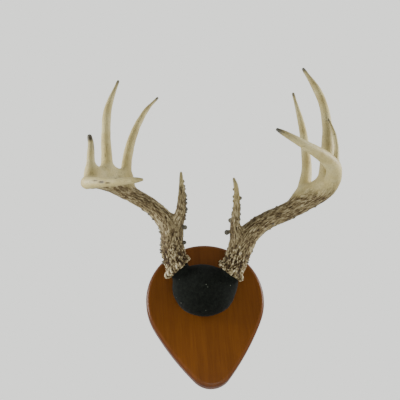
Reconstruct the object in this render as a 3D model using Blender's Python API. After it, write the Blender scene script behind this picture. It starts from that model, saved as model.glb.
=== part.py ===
"""Whitetail antler mount: a ten-point rack on a dark covered skull plate and an egg-shaped wooden board.

Metres, +Z up. The wall is the plane y = 0 and the mount stands out of it towards -Y. The origin is on the
board's flat back, at the centre of its round top. Left and right are the viewer's.
"""

import math

import bmesh
import bpy
import numpy as np
from mathutils import Vector

MM = 0.001

# Board: a half circle on top, long slightly bowed flanks and a small round tip
BOARD_WIDTH = 0.203
BOARD_HEIGHT = 0.253
BOARD_THICKNESS = 0.019
BOARD_TIP_RADIUS = 0.038
BOARD_FLANK_RADIUS = 0.450
FRONT_ROUNDING = 0.0065
BACK_ROUNDING = 0.0008
FRONT_ROUNDING_STEPS = 4
TOP_STEPS = 36
FLANK_STEPS = 5
TIP_STEPS = 12

# Hanging slot routed into the board's back for the head of a wall screw
SLOT_HEAD_WIDTH = 0.0095
SLOT_NECK_WIDTH = 0.0050
SLOT_LIP = 0.0035
SLOT_DEPTH = 0.0100
SLOT_RUN = 0.0160
SLOT_ENTRY_UP = 0.048
SLOT_SIDES = 24

# Cover of the skull plate: a smooth cap with a crown in the middle and a full rim round its sides and bottom,
# which rises to a flat seat under each burr. Out is measured from the board's face, up from the origin
COVER_WIDTH = 0.1105
COVER_LENGTH = 0.098
COVER_CENTRE_ACROSS = -0.0007
COVER_CENTRE_UP = 0.0155
CROWN_DEPTH = 0.050
CROWN_RADIUS = 0.031
CROWN_UP = 0.0225
RIM_RADIUS = 0.025
RIM_OUT = 0.008
RIM_STEPS = 4
SEAT_RADIUS = 0.0180
SEAT_RUN = 0.016
COVER_FILLET = 0.016
COVER_VOXEL = 0.0035
COVER_TRIANGLES = 1100
GAP = 0.0003

# Antlers
BURR_OUT = 0.031
BURR_RING_RADIUS = 0.0204
BURR_BEADS = 17
BURR_BEAD_RADIUS = 0.0047
BURR_BEAD_VARIATION = 0.18
BURR_RING_VARIATION = 0.045
BEAD_STEPS = 2
BURR_BASE = 0.0055
BEAM_ROOT = 0.014
TINE_FILLET = 0.010
WEB_FILLET = 0.014
BEAD_FILLET = 0.003
SPLINE_STEP = 0.006
VOXEL = 0.003
SKIN = 0.0012
TUBE_SIDES = 10
TUBE_END_SHARE = 0.3
DRAWING_STEPS = 4
ANTLER_TRIANGLES = 3600

# Each row is a point on a branch's centre line and its radius there, in millimetres: across, out of the wall
# and up from the middle of the burr, then the radius. The first row of a tine lies inside the beam.
LEFT = {
    "burr": (-0.0452, 0.0487),
    "burr_axis": (-0.62, 0.30, 0.72),
    "beam": [
        (0, 0, 0, 19.0),
        (-6, 12, 28, 19.6),
        (-8, 25, 60, 17.9),
        (-26, 32, 88, 14.0),
        (-53, 40, 110, 12.8),
        (-90, 56, 126, 12.6),
        (-114, 74, 129, 11.6),
        (-132, 98, 120, 11.2),
        (-140, 121, 106, 10.8),
        (-124, 142, 94, 8.6),
        (-92, 164, 81, 6.3),
        (-66, 177, 75, 4.8),
        (-52, 183, 72, 1.8),
    ],
    "webs": [
        [(-80, 50, 140, 10.5), (-96, 61, 143, 10.5), (-111, 72, 142, 10.5), (-123, 87, 136, 9.5),
         (-133, 101, 130, 9.0)],
        [(-79, 50, 150, 8.5), (-96, 61, 156, 8.0), (-111, 72, 154, 9.0), (-123, 87, 144, 8.0),
         (-134, 102, 138, 7.5)],
    ],
    "tines": [
        [(1, 28, 60, 12.0), (11, 46, 84, 8.2), (14, 60, 108, 6.0), (15, 73, 142, 1.6)],
        [(-80, 51, 128, 11.5), (-77, 49, 180, 8.9), (-64, 40, 240, 7.2), (-41, 28, 297, 4.7),
         (-15, 17, 336, 1.4)],
        [(-110, 72, 134, 11.5), (-110, 73, 175, 9.6), (-110, 71, 232, 8.0), (-105, 66, 286, 6.8),
         (-86, 53, 352, 1.8)],
        [(-135, 99, 122, 9.5), (-135, 105, 160, 6.9), (-134, 107, 186, 5.0), (-136, 108, 201, 3.4)],
    ],
    "knobs": [
        [(14, 60, 105, 2.0), (20, 59, 105, 1.8)],
        [(11, 47, 85, 2.0), (20, 48, 85, 1.8)],
        [(5, 33, 60, 3.0), (13, 36, 57, 2.4), (16, 37, 56, 3.2)],
        [(3, 24, 37, 3.0), (14, 26, 33, 2.2)],
    ],
}
RIGHT = {
    "burr": (0.0463, 0.0355),
    "burr_axis": (0.62, 0.40, 0.66),
    "beam": [
        (0, 0, 0, 19.0),
        (17, 16, 33, 20.0),
        (36, 27, 57, 17.0),
        (64, 34, 74, 14.6),
        (97, 40, 85, 14.8),
        (139, 52, 100, 14.8),
        (164, 72, 107, 14.6),
        (174, 100, 112, 13.5),
        (170, 132, 116, 12.4),
        (153, 158, 121, 11.0),
        (120, 188, 126, 7.8),
        (91, 206, 135, 5.6),
        (70, 216, 143, 2.0),
    ],
    "webs": [[(124, 48, 107, 11.0), (142, 60, 116, 11.0), (164, 78, 119, 10.0)]],
    "tines": [
        [(14, 28, 47, 13.6), (10, 42, 67, 8.2), (14, 57, 94, 5.9), (15, 70, 121, 4.1), (12, 75, 137, 1.6)],
        [(130, 49, 111, 12.0), (144, 48, 157, 9.2), (150, 42, 206, 7.8), (153, 32, 263, 6.3),
         (151, 14, 347, 1.9)],
        [(165, 76, 115, 12.5), (175, 82, 158, 12.6), (186, 80, 226, 9.2), (187, 76, 279, 7.5),
         (181, 70, 319, 6.7), (166, 62, 368, 1.9)],
        [(173, 129, 120, 6.5), (180, 135, 151, 4.2), (180, 136, 181, 3.2), (175, 135, 209, 1.4)],
    ],
    "knobs": [
        [(10, 44, 72, 2.5), (2, 45, 74, 2.7)],
        [(8, 37, 59, 2.6), (-1, 36, 57, 2.0), (-5, 36, 56, 3.3)],
        [(14, 63, 106, 2.0), (21, 63, 106, 1.9)],
    ],
}


def clear_scene():
    for obj in list(bpy.data.objects):
        bpy.data.objects.remove(obj, do_unlink=True)


def material(name, colour, roughness):
    """A plain Principled material; colour is linear RGB."""
    made = bpy.data.materials.new(name)
    made.use_nodes = True
    shader = made.node_tree.nodes["Principled BSDF"]
    shader.inputs["Base Color"].default_value = (*colour, 1.0)
    shader.inputs["Roughness"].default_value = roughness
    shader.inputs["Metallic"].default_value = 0.0
    made.diffuse_color = (*colour, 1.0)
    return made


def add_object(name, bm, look=None):
    """Turns a bmesh into an object of the scene."""
    bmesh.ops.recalc_face_normals(bm, faces=bm.faces[:])
    mesh = bpy.data.meshes.new(name)
    bm.to_mesh(mesh)
    bm.free()
    obj = bpy.data.objects.new(name, mesh)
    bpy.context.collection.objects.link(obj)
    if look:
        mesh.materials.append(look)
    return obj


def as_cutter(obj):
    obj.hide_render = True
    obj.display_type = "WIRE"
    return obj


def boolean(obj, operation, other):
    modifier = obj.modifiers.new(other.name, "BOOLEAN")
    modifier.operation = operation
    modifier.object = other
    modifier.solver = "EXACT"


def loft(bm, rings):
    """Joins closed rings of as many points each by quads, and caps both ends."""
    loops = [[bm.verts.new(point) for point in ring] for ring in rings]
    count = len(loops[0])
    for low, high in zip(loops, loops[1:]):
        for i in range(count):
            j = (i + 1) % count
            bm.faces.new((low[i], low[j], high[j], high[i]))
    bm.faces.new(loops[0][::-1])
    bm.faces.new(loops[-1])


def axes_across(direction):
    """Two unit vectors at right angles to a direction and to each other."""
    side = direction.orthogonal().normalized()
    return side, direction.cross(side).normalized()


def cylinder(name, start, end, start_radius, end_radius, sides):
    """A closed round bar or cone from start to end."""
    bm = bmesh.new()
    side, other = axes_across((end - start).normalized())
    turns = [2 * math.pi * i / sides for i in range(sides)]
    spokes = [side * math.cos(turn) + other * math.sin(turn) for turn in turns]
    ends = ((start, start_radius), (end, end_radius))
    loft(bm, [[middle + spoke * radius for spoke in spokes] for middle, radius in ends])
    return add_object(name, bm)


def arc(centre, radius, start, end, steps):
    """Points along an arc in the board's plane, as (across, up)."""
    turns = [start + (end - start) * i / steps for i in range(steps + 1)]
    return [(centre[0] + radius * math.cos(turn), centre[1] + radius * math.sin(turn)) for turn in turns]


def board_outline():
    """The board's edge, clockwise from the left end of the half circle: top, right flank, tip and left flank.

    Each flank is an arc that meets the top circle and the tip circle without a corner.
    """
    top_radius = BOARD_WIDTH / 2
    tip_up = BOARD_TIP_RADIUS - (BOARD_HEIGHT - top_radius)
    to_top = BOARD_FLANK_RADIUS - top_radius
    to_tip = BOARD_FLANK_RADIUS - BOARD_TIP_RADIUS
    flank_up = (to_tip**2 - to_top**2 - tip_up**2) / (-2 * tip_up)
    flank_across = -math.sqrt(to_top**2 - flank_up**2)
    start = math.atan2(-flank_up, -flank_across)
    end = math.atan2(tip_up - flank_up, -flank_across)
    top = arc((0, 0), top_radius, math.pi - start, start, TOP_STEPS)
    flank = arc((flank_across, flank_up), BOARD_FLANK_RADIUS, start, end, FLANK_STEPS)
    tip = arc((0, tip_up), BOARD_TIP_RADIUS, end, -math.pi - end, TIP_STEPS)
    mirrored = [(-across, up) for across, up in reversed(flank)]
    return top + flank[1:] + tip[1:] + mirrored[1:-1]


def make_board(look):
    """The extruded outline, its front edge well rounded and its back edge just broken."""
    bm = bmesh.new()
    outline = board_outline()
    back = [(across, 0.0, up) for across, up in outline]
    front = [(across, -BOARD_THICKNESS, up) for across, up in outline]
    loft(bm, [back, front])
    weights = bm.edges.layers.float.new("bevel_weight_edge")
    for edge in bm.edges:
        ends = {round(vert.co.y, 6) for vert in edge.verts}
        if len(ends) == 1:
            edge[weights] = 1.0 if ends == {-BOARD_THICKNESS} else BACK_ROUNDING / FRONT_ROUNDING
    board = add_object("plaque", bm, look)
    rounding = board.modifiers.new("rounded_edges", "BEVEL")
    rounding.limit_method = "WEIGHT"
    rounding.width = FRONT_ROUNDING
    rounding.segments = FRONT_ROUNDING_STEPS
    for cutter in slot_cutters():
        boolean(board, "DIFFERENCE", cutter)
    shade(board)
    return board


def slot_cutters():
    """A round entry for the screw's head, a narrow neck above it for the shank and an undercut behind."""
    over = 0.002
    entry = Vector((0.0, over, SLOT_ENTRY_UP))
    entry_end = Vector((0.0, -SLOT_DEPTH, SLOT_ENTRY_UP))
    radius = SLOT_HEAD_WIDTH / 2
    yield as_cutter(cylinder("slot_entry", entry, entry_end, radius, radius, SLOT_SIDES))
    for name, width, shallow, inset in (
        ("slot_neck", SLOT_NECK_WIDTH, over, 0.0002),
        ("slot_undercut", SLOT_HEAD_WIDTH * 0.96, -SLOT_LIP, 0.0004),
    ):
        bm = bmesh.new()
        rounded = arc((0.0, SLOT_ENTRY_UP + SLOT_RUN), width / 2, math.pi, 0.0, SLOT_SIDES // 2)
        outline = [(-width / 2, SLOT_ENTRY_UP)] + rounded + [(width / 2, SLOT_ENTRY_UP)]
        deep = -(SLOT_DEPTH - inset)
        loft(bm, [[(across, out, up) for across, up in outline] for out in (shallow, deep)])
        yield as_cutter(add_object(name, bm))


def burr_frame(antler):
    """The middle of an antler's burr in the world, and the unit vector that its burr faces."""
    across, up = antler["burr"]
    along, out, rise = antler["burr_axis"]
    centre = Vector((across, -(BOARD_THICKNESS + BURR_OUT), up))
    return centre, Vector((along, -out, rise)).normalized()


def knots_from(rows, origin):
    """A branch's rows as places in the world, each with the radius there."""
    knots = np.array([(across, -out, up, radius) for across, out, up, radius in rows]) * MM
    knots[:, :3] += origin
    return knots


def spline(knots):
    """A smooth curve through knots, as points a few millimetres apart and the radius at each."""
    ends = np.vstack([2 * knots[0] - knots[1], knots, 2 * knots[-1] - knots[-2]])
    points = []
    for before, start, end, after in zip(ends, ends[1:], ends[2:], ends[3:]):
        steps = max(2, round(np.linalg.norm(end[:3] - start[:3]) / SPLINE_STEP))
        for t in np.arange(steps) / steps:
            turn = 2 * start + (end - before) * t + (2 * before - 5 * start + 4 * end - after) * t**2
            points.append((turn + (3 * start - before - 3 * end + after) * t**3) / 2)
    points = np.vstack([points, knots[-1]])
    return points[:, :3], points[:, 3]


def burr_beads(antler):
    """The ring of beads round the burr, uneven as grown."""
    burr, axis = burr_frame(antler)
    side, other = axes_across(axis)
    beads = []
    for i in range(BURR_BEADS):
        turn = 2 * math.pi * i / BURR_BEADS
        uneven = math.sin(2.3 * i + 1.0)
        spoke = side * math.cos(turn) + other * math.sin(turn)
        centre = burr + spoke * BURR_RING_RADIUS * (1 + BURR_RING_VARIATION * uneven)
        beads.append((np.array([centre]), np.array([BURR_BEAD_RADIUS * (1 + BURR_BEAD_VARIATION * uneven)])))
    return beads


def branches(antler):
    """(points, radii, fillet) of the beam, then each web between tines, each tine, bead and knob."""
    burr, axis = burr_frame(antler)
    origin = np.array(burr)
    points, radii = spline(knots_from(antler["beam"], origin))
    root = origin - BEAM_ROOT * np.array(axis)
    shapes = [(np.vstack([root, points]), np.append(radii[0], radii), 0.0)]
    shapes += [(*spline(knots_from(rows, origin)), WEB_FILLET) for rows in antler["webs"]]
    shapes += [(*spline(knots_from(rows, origin)), TINE_FILLET) for rows in antler["tines"]]
    shapes += [(*bead, BEAD_FILLET) for bead in burr_beads(antler)]
    shapes += [(*spline(knots_from(rows, origin)), BEAD_FILLET) for rows in antler["knobs"]]
    return shapes


def distance_to_branch(places, points, radii):
    """How far places lie outside a branch, and the unit vectors that lead away from it."""
    starts, ends = points[:-1], points[1:]
    if len(points) == 1:
        starts = ends = points
    runs = ends - starts
    lengths = np.maximum((runs**2).sum(axis=1), 1e-12)
    offsets = places[:, None, :] - starts
    shares = np.clip((offsets * runs).sum(axis=2) / lengths, 0, 1)
    offsets -= shares[:, :, None] * runs
    gaps = np.sqrt((offsets**2).sum(axis=2))
    widths = radii[: len(starts)] + shares * (radii[-len(starts):] - radii[: len(starts)])
    nearest = (gaps - widths).argmin(axis=1)
    rows = np.arange(len(places))
    gap = gaps[rows, nearest]
    away = offsets[rows, nearest] / np.maximum(gap, 1e-9)[:, None]
    return gap - widths[rows, nearest], away


def distance_to_form(places, shapes):
    """The same for all the branches of a form, run together by fillets."""
    total, away = distance_to_branch(places, shapes[0][0], shapes[0][1])
    for points, radii, fillet in shapes[1:]:
        other, other_away = distance_to_branch(places, points, radii)
        mix = np.clip(0.5 + 0.5 * (other - total) / fillet, 0, 1)
        total = other + (total - other) * mix - fillet * mix * (1 - mix)
        away = other_away + (away - other_away) * mix[:, None]
        away /= np.maximum(np.linalg.norm(away, axis=1), 1e-9)[:, None]
    return total, away


def tube(bm, points, radii):
    """A closed tube along a branch, with a rounded end; a bead is a ball."""
    if len(points) == 1:
        ball = bmesh.ops.create_icosphere(bm, subdivisions=BEAD_STEPS, radius=float(radii[0]))
        bmesh.ops.translate(bm, verts=ball["verts"], vec=Vector(points[0]))
        return
    tangents = np.gradient(points, axis=0)
    side = Vector(tangents[0]).orthogonal().normalized()
    rings = []
    for point, tangent, radius in zip(points, tangents, radii):
        along = Vector(tangent).normalized()
        side = (side - along * side.dot(along)).normalized()
        other = along.cross(side)
        turns = [2 * math.pi * i / TUBE_SIDES for i in range(TUBE_SIDES)]
        rings.append([Vector(point) + (side * math.cos(t) + other * math.sin(t)) * radius for t in turns])
    last = Vector(points[-1]) + Vector(tangents[-1]).normalized() * radii[-1]
    rings.append([last + (corner - Vector(points[-1])) * TUBE_END_SHARE for corner in rings[-1]])
    loft(bm, rings)


def evaluated_mesh(obj):
    bpy.context.view_layer.update()
    graph = bpy.context.evaluated_depsgraph_get()
    return bpy.data.meshes.new_from_object(obj.evaluated_get(graph))


def skin(shapes, voxel):
    """One closed skin round all the branches, drawn onto their filleted surface."""
    bm = bmesh.new()
    for points, radii, _ in shapes:
        tube(bm, points, radii + SKIN)
    rough = add_object("rough", bm)
    remesh = rough.modifiers.new("skin", "REMESH")
    remesh.mode = "VOXEL"
    remesh.voxel_size = voxel
    mesh = evaluated_mesh(rough)
    bpy.data.objects.remove(rough, do_unlink=True)
    places = np.empty(len(mesh.vertices) * 3)
    mesh.vertices.foreach_get("co", places)
    places = places.reshape(-1, 3)
    for _ in range(DRAWING_STEPS):
        total, away = distance_to_form(places, shapes)
        places -= total[:, None] * away
    mesh.vertices.foreach_set("co", places.ravel())
    bm = bmesh.new()
    bm.from_mesh(mesh)
    bpy.data.meshes.remove(mesh)
    return bm


def cut_flat(bm, place, normal):
    """Cuts away what lies behind a plane, and closes the cut with a flat face."""
    geometry = bm.verts[:] + bm.edges[:] + bm.faces[:]
    cut = bmesh.ops.bisect_plane(bm, geom=geometry, plane_co=place, plane_no=normal, clear_inner=True)
    rim = [item for item in cut["geom_cut"] if isinstance(item, bmesh.types.BMEdge)]
    bmesh.ops.contextual_create(bm, geom=rim)


def thinned(name, bm, triangles, look):
    """The form as an object with about so many flat facets."""
    bmesh.ops.triangulate(bm, faces=bm.faces[:])
    facets = len(bm.faces)
    obj = add_object(name, bm, look)
    thin = obj.modifiers.new("facets", "DECIMATE")
    thin.ratio = triangles / facets
    thin.use_collapse_triangulate = True
    shade(obj)
    return obj


def make_antler(name, antler, look):
    """The skin, cut flat behind the burr where it sits on the cover, then thinned."""
    burr, axis = burr_frame(antler)
    bm = skin(branches(antler), VOXEL)
    cut_flat(bm, burr - axis * BURR_BASE, axis)
    return thinned(name, bm, ANTLER_TRIANGLES, look)


def cover_shapes():
    """(points, radii, fillet) of the bridge from seat to seat over the crown, and of the rim below it."""
    crown = (COVER_CENTRE_ACROSS, -(BOARD_THICKNESS + CROWN_DEPTH - CROWN_RADIUS), CROWN_UP, CROWN_RADIUS)
    seats = []
    for antler in (LEFT, RIGHT):
        burr, axis = burr_frame(antler)
        seats.append([(*(burr - axis * (BURR_BASE + back)), SEAT_RADIUS) for back in (-BURR_BASE, SEAT_RUN)])
    (left_top, left_root), (right_top, right_root) = seats
    rim = []
    for i in range(RIM_STEPS + 1):
        turn = math.pi * (1 + i / RIM_STEPS)
        across = COVER_CENTRE_ACROSS + (COVER_WIDTH / 2 - RIM_RADIUS) * math.cos(turn)
        up = COVER_CENTRE_UP + (COVER_LENGTH / 2 - RIM_RADIUS) * math.sin(turn)
        rim.append((across, -(BOARD_THICKNESS + RIM_OUT), up, RIM_RADIUS))
    bridge = [left_top, left_root, crown, right_root, right_top]
    return [(*spline(np.array(bridge)), 0.0), (*spline(np.array(rim)), COVER_FILLET)]


def make_cover(look):
    """The cap, cut flat on the board and where each burr sits."""
    bm = skin(cover_shapes(), COVER_VOXEL)
    cut_flat(bm, Vector((0.0, -(BOARD_THICKNESS + GAP), 0.0)), Vector((0.0, -1.0, 0.0)))
    for antler in (LEFT, RIGHT):
        burr, axis = burr_frame(antler)
        cut_flat(bm, burr - axis * (BURR_BASE + GAP), -axis)
    return thinned("skull_cover", bm, COVER_TRIANGLES, look)


def shade(obj):
    """Smooth shading with edges sharper than 40 degrees kept."""
    obj.data.shade_smooth()
    obj.data.set_sharp_from_angle(angle=math.radians(40))


def main():
    clear_scene()
    wood = material("stained_wood", (0.152, 0.051, 0.007), 0.38)
    felt = material("dark_felt", (0.0075, 0.0085, 0.0070), 0.9)
    bone = material("antler_bone", (0.48, 0.42, 0.29), 0.5)
    make_board(wood)
    make_cover(felt)
    make_antler("left_antler", LEFT, bone)
    make_antler("right_antler", RIGHT, bone)


main()
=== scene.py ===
"""Looks of the antler mount: weathered bone, a felt-covered skull cap and a satin stained board.

Metres, +Z up, in the frame of the solids: the wall is y = 0 and the mount stands out of it towards -Y.
"""

import math

import bmesh
import bpy
import numpy as np
from mathutils import Matrix, Vector


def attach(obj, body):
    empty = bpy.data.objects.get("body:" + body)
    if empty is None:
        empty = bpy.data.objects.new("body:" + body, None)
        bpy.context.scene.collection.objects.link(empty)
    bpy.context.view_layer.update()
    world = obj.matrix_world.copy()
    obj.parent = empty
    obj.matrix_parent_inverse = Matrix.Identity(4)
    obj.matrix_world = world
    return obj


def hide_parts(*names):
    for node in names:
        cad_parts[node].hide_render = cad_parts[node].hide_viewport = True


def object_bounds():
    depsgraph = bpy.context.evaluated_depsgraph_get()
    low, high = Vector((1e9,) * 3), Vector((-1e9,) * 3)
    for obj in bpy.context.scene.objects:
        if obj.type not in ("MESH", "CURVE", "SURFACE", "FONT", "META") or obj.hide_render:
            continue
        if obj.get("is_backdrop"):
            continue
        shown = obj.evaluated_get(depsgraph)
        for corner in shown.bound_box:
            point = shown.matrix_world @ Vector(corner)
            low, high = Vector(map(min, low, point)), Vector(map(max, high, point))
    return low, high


MM = 0.001
BODY = "root"

# The viewer stands a little left of the mount and well below it, with the picture turned a few degrees
CAMERA_PLACE = (-0.0957, -1.3114, -0.4739)
CAMERA_PITCH = math.radians(27.125)
CAMERA_YAW = math.radians(4.5)
CAMERA_ROLL = math.radians(-5.15)
CAMERA_LENS = 72.0
CAMERA_SENSOR = 36.0

# Board
BOARD_WIDTH = 0.203
BOARD_HEIGHT = 0.253
BOARD_THICKNESS = 0.019
BOARD_TIP_RADIUS = 0.038
BOARD_FLANK_RADIUS = 0.450
FRONT_ROUNDING = 0.0065
BACK_ROUNDING = 0.0008
ROUNDING_STEPS = 8
TOP_STEPS = 120
FLANK_STEPS = 24
TIP_STEPS = 40

# Hanging slot in the board's back
SLOT_HEAD_WIDTH = 0.0095
SLOT_NECK_WIDTH = 0.0050
SLOT_LIP = 0.0035
SLOT_DEPTH = 0.0100
SLOT_RUN = 0.0160
SLOT_ENTRY_UP = 0.048
SLOT_SIDES = 32
SLOT_UNDERCUT_SHARE = 0.96
CUTTER_OVER = 0.002
BOARD_CREASE = math.radians(40)

# The neck and the undercut end a little short of the entry's depth, so that no two cutters share a face
NECK_INSET = 0.0002
UNDERCUT_INSET = 0.0004

# Skull cover
COVER_WIDTH = 0.1105
COVER_LENGTH = 0.098
COVER_CENTRE_ACROSS = -0.0007
COVER_CENTRE_UP = 0.0155
CROWN_DEPTH = 0.050
CROWN_RADIUS = 0.031
CROWN_UP = 0.0225
RIM_RADIUS = 0.025
RIM_OUT = 0.008
RIM_STEPS = 4
SEAT_RADIUS = 0.0180
SEAT_RUN = 0.016
COVER_FILLET = 0.016
COVER_VOXEL = 0.0018
COVER_CREASE = math.radians(50)
GAP = 0.0003

# How far the felt lies below its form, and its lumps as (size, height), in millimetres
COVER_SUNK = 0.25
COVER_LUMPS = ((19, 0.30), (7, 0.12))

# Antlers
BURR_OUT = 0.031
BURR_RING_RADIUS = 0.0204
BURR_BEADS = 17
BURR_BEAD_RADIUS = 0.0047
BURR_BEAD_VARIATION = 0.18
BURR_RING_VARIATION = 0.045
BURR_TURN_STEP = 2.3
BURR_TURN_START = 1.0
BURR_BASE = 0.0055
BEAM_ROOT = 0.014
TINE_FILLET = 0.010
WEB_FILLET = 0.014
BEAD_FILLET = 0.003
SPLINE_STEP = 0.006
VOXEL = 0.0011
SKIN = 0.0006
TUBE_SIDES = 14
TUBE_END_SHARE = 0.3
BEAD_SUBDIVISIONS = 2
BRANCH_REACH = 0.022
FAR_AWAY = 1.0
DRAWING_STEPS = 3
ROWS_AT_ONCE = 8000
NOISE_SEED = 20

# An antler has the place of its burr, across and up from the origin in metres, the direction the burr faces,
# as across, out and up, and a seed for what is random on it. "tips" says how dark the ends of the beam and of
# each tine are, from 0 to 1. In the branches, each row is a point on a centre line and the radius there, in
# millimetres: across, out of the wall and up from the middle of the burr, then the radius. The first row of a
# tine lies inside the beam. Webs fill the forks between tines, and knobs stand out near the brow tine.
LEFT = {
    "burr": (-0.0452, 0.0487),
    "seed": 3,
    "tips": (0.35, 0.45, 1.0, 1.0, 1.0),
    "burr_axis": (-0.62, 0.30, 0.72),
    "beam": [
        (0, 0, 0, 19.0),
        (-6, 12, 28, 19.6),
        (-8, 25, 60, 17.9),
        (-26, 32, 88, 14.0),
        (-53, 40, 110, 12.8),
        (-90, 56, 126, 12.6),
        (-114, 74, 129, 11.6),
        (-132, 98, 120, 11.2),
        (-140, 121, 106, 10.8),
        (-124, 142, 94, 8.6),
        (-92, 164, 81, 6.3),
        (-66, 177, 75, 4.8),
        (-52, 183, 72, 1.8),
    ],
    "webs": [
        [(-80, 50, 140, 10.5), (-96, 61, 143, 10.5), (-111, 72, 142, 10.5), (-123, 87, 136, 9.5),
         (-133, 101, 130, 9.0)],
        [(-79, 50, 150, 8.5), (-96, 61, 156, 8.0), (-111, 72, 154, 9.0), (-123, 87, 144, 8.0),
         (-134, 102, 138, 7.5)],
    ],
    "tines": [
        [(1, 28, 60, 12.0), (11, 46, 84, 8.2), (14, 60, 108, 6.0), (15, 73, 142, 1.6)],
        [(-80, 51, 128, 11.5), (-77, 49, 180, 8.9), (-64, 40, 240, 7.2), (-41, 28, 297, 4.7),
         (-15, 17, 336, 1.4)],
        [(-110, 72, 134, 11.5), (-110, 73, 175, 9.6), (-110, 71, 232, 8.0), (-105, 66, 286, 6.8),
         (-86, 53, 352, 1.8)],
        [(-135, 99, 122, 9.5), (-135, 105, 160, 6.9), (-134, 107, 186, 5.0), (-136, 108, 201, 3.4)],
    ],
    "knobs": [
        [(14, 60, 105, 2.0), (20, 59, 105, 1.8)],
        [(11, 47, 85, 2.0), (20, 48, 85, 1.8)],
        [(5, 33, 60, 3.0), (13, 36, 57, 2.4), (16, 37, 56, 3.2)],
        [(3, 24, 37, 3.0), (14, 26, 33, 2.2)],
    ],
}
RIGHT = {
    "burr": (0.0463, 0.0355),
    "seed": 40,
    "tips": (1.0, 0.55, 1.0, 1.0, 0.7),
    "burr_axis": (0.62, 0.40, 0.66),
    "beam": [
        (0, 0, 0, 19.0),
        (17, 16, 33, 20.0),
        (36, 27, 57, 17.0),
        (64, 34, 74, 14.6),
        (97, 40, 85, 14.8),
        (139, 52, 100, 14.8),
        (164, 72, 107, 14.6),
        (174, 100, 112, 13.5),
        (170, 132, 116, 12.4),
        (153, 158, 121, 11.0),
        (120, 188, 126, 7.8),
        (91, 206, 135, 5.6),
        (70, 216, 143, 2.0),
    ],
    "webs": [[(124, 48, 107, 11.0), (142, 60, 116, 11.0), (164, 78, 119, 10.0)]],
    "tines": [
        [(14, 28, 47, 13.6), (10, 42, 67, 8.2), (14, 57, 94, 5.9), (15, 70, 121, 4.1), (12, 75, 137, 1.6)],
        [(130, 49, 111, 12.0), (144, 48, 157, 9.2), (150, 42, 206, 7.8), (153, 32, 263, 6.3),
         (151, 14, 347, 1.9)],
        [(165, 76, 115, 12.5), (175, 82, 158, 12.6), (186, 80, 226, 9.2), (187, 76, 279, 7.5),
         (181, 70, 319, 6.7), (166, 62, 368, 1.9)],
        [(173, 129, 120, 6.5), (180, 135, 151, 4.2), (180, 136, 181, 3.2), (175, 135, 209, 1.4)],
    ],
    "knobs": [
        [(10, 44, 72, 2.5), (2, 45, 74, 2.7)],
        [(8, 37, 59, 2.6), (-1, 36, 57, 2.0), (-5, 36, 56, 3.3)],
        [(14, 63, 106, 2.0), (21, 63, 106, 1.9)],
    ],
}

# How rough the bone is, and how brown, from 0 to 1, at distances along a branch in millimetres
BEAM_ROUGHNESS = [(0, 1.0), (60, 0.90), (110, 0.60), (180, 0.40), (225, 0.16), (300, 0.05), (600, 0.03)]
BROW_ROUGHNESS = [(0, 0.60), (35, 0.48), (70, 0.22), (100, 0.06), (300, 0.03)]
TINE_ROUGHNESS = [(0, 0.10), (40, 0.05), (500, 0.02)]
BEAM_STAIN = [
    (0, 0.90), (25, 1.0), (110, 0.92), (180, 0.78), (215, 0.42), (250, 0.12), (300, 0.0), (600, 0.0),
]
BROW_STAIN = [(0, 0.80), (35, 0.66), (62, 0.40), (85, 0.12), (300, 0.0)]
TINE_STAIN = [(0, 0.10), (25, 0.03), (60, 0.0), (500, 0.0)]

# Small teeth that stand out of a branch: the branch, where the row starts and ends along it in millimetres,
# the side they point to, how many there are and how far they stand out in millimetres
LEFT_TEETH = [
    (1, 20, 84, (1.0, -0.1, -0.1), 15, 3.0),
    (0, 22, 82, (-1.0, 0.2, -0.2), 18, 3.0),
    (0, 80, 150, (-0.5, 0.0, -0.9), 13, 1.7),
    (0, 100, 150, (0.5, 0.0, 0.9), 9, 1.5),
]
RIGHT_TEETH = [
    (1, 24, 90, (-1.0, -0.1, 0.0), 10, 2.2),
    (1, 30, 80, (1.0, -0.2, 0.0), 6, 1.4),
    (0, 22, 80, (1.0, 0.1, -0.5), 12, 1.8),
    (0, 90, 150, (-0.4, 0.0, 0.9), 10, 1.6),
    (0, 110, 215, (0.3, 0.0, -1.0), 13, 1.3),
]

# Old marks in the smooth bone, and a few of painted shade: the branch, the place along it in millimetres, the
# side it faces, then its length along the branch, its width and how dark it is
LEFT_MARKS = [
    (0, 318, (-0.6, -0.8, 0.0), 12, 3.0, 0.9),
    (0, 331, (-0.6, -0.7, -0.3), 12, 4.4, 1.0),
    (0, 343, (-0.6, -0.6, -0.5), 10, 3.0, 0.9),
    (0, 356, (-0.2, -0.7, 0.7), 5, 3.4, 0.9),
    (3, 43, (-0.2, -1.0, 0.0), 4, 1.2, 0.8),
    (3, 60, (0.1, -1.0, 0.0), 22, 1.2, 0.35),
    (4, 30, (-0.6, -0.8, 0.0), 14, 1.3, 0.6),
    (4, 74, (0.1, -1.0, 0.3), 10, 9.0, 0.8),
    (4, 60, (0.9, -0.5, 0.0), 14, 2.6, 0.7),
]
RIGHT_MARKS_AND_SHADE = [
    (0, 425, (0.2, -0.9, -0.4), 2, 1.6, 0.9),
    (0, 411, (-0.5, 0.4, -0.7), 4, 2.0, 0.8),
    (0, 384, (0.0, -0.4, -0.9), 12, 1.6, 0.4),
    (2, 199, (0.1, -1.0, 0.2), 2, 1.5, 0.9),
    (2, 63, (0.4, -0.9, 0.0), 7, 1.3, 0.8),
    (2, 40, (0.65, -0.7, -0.2), 18, 1.2, 0.6),
    # Painted shade: a dark line at the tip, down the left side and in the fork of the fourth tine, in front
    # of the third
    (4, 88, (0.0, -1.0, 0.0), 3, 9.0, 0.7),
    (4, 58, (-0.4, -0.9, 0.0), 2, 3.2, 0.8),
    (4, 20, (-0.9, -0.5, 0.1), 5, 2.4, 0.9),
    (3, 97, (-0.1, -1.0, 0.0), 62, 17.0, 0.26),
    (3, 123, (-0.1, -1.0, 0.1), 2.6, 14.0, 0.5),
]

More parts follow.
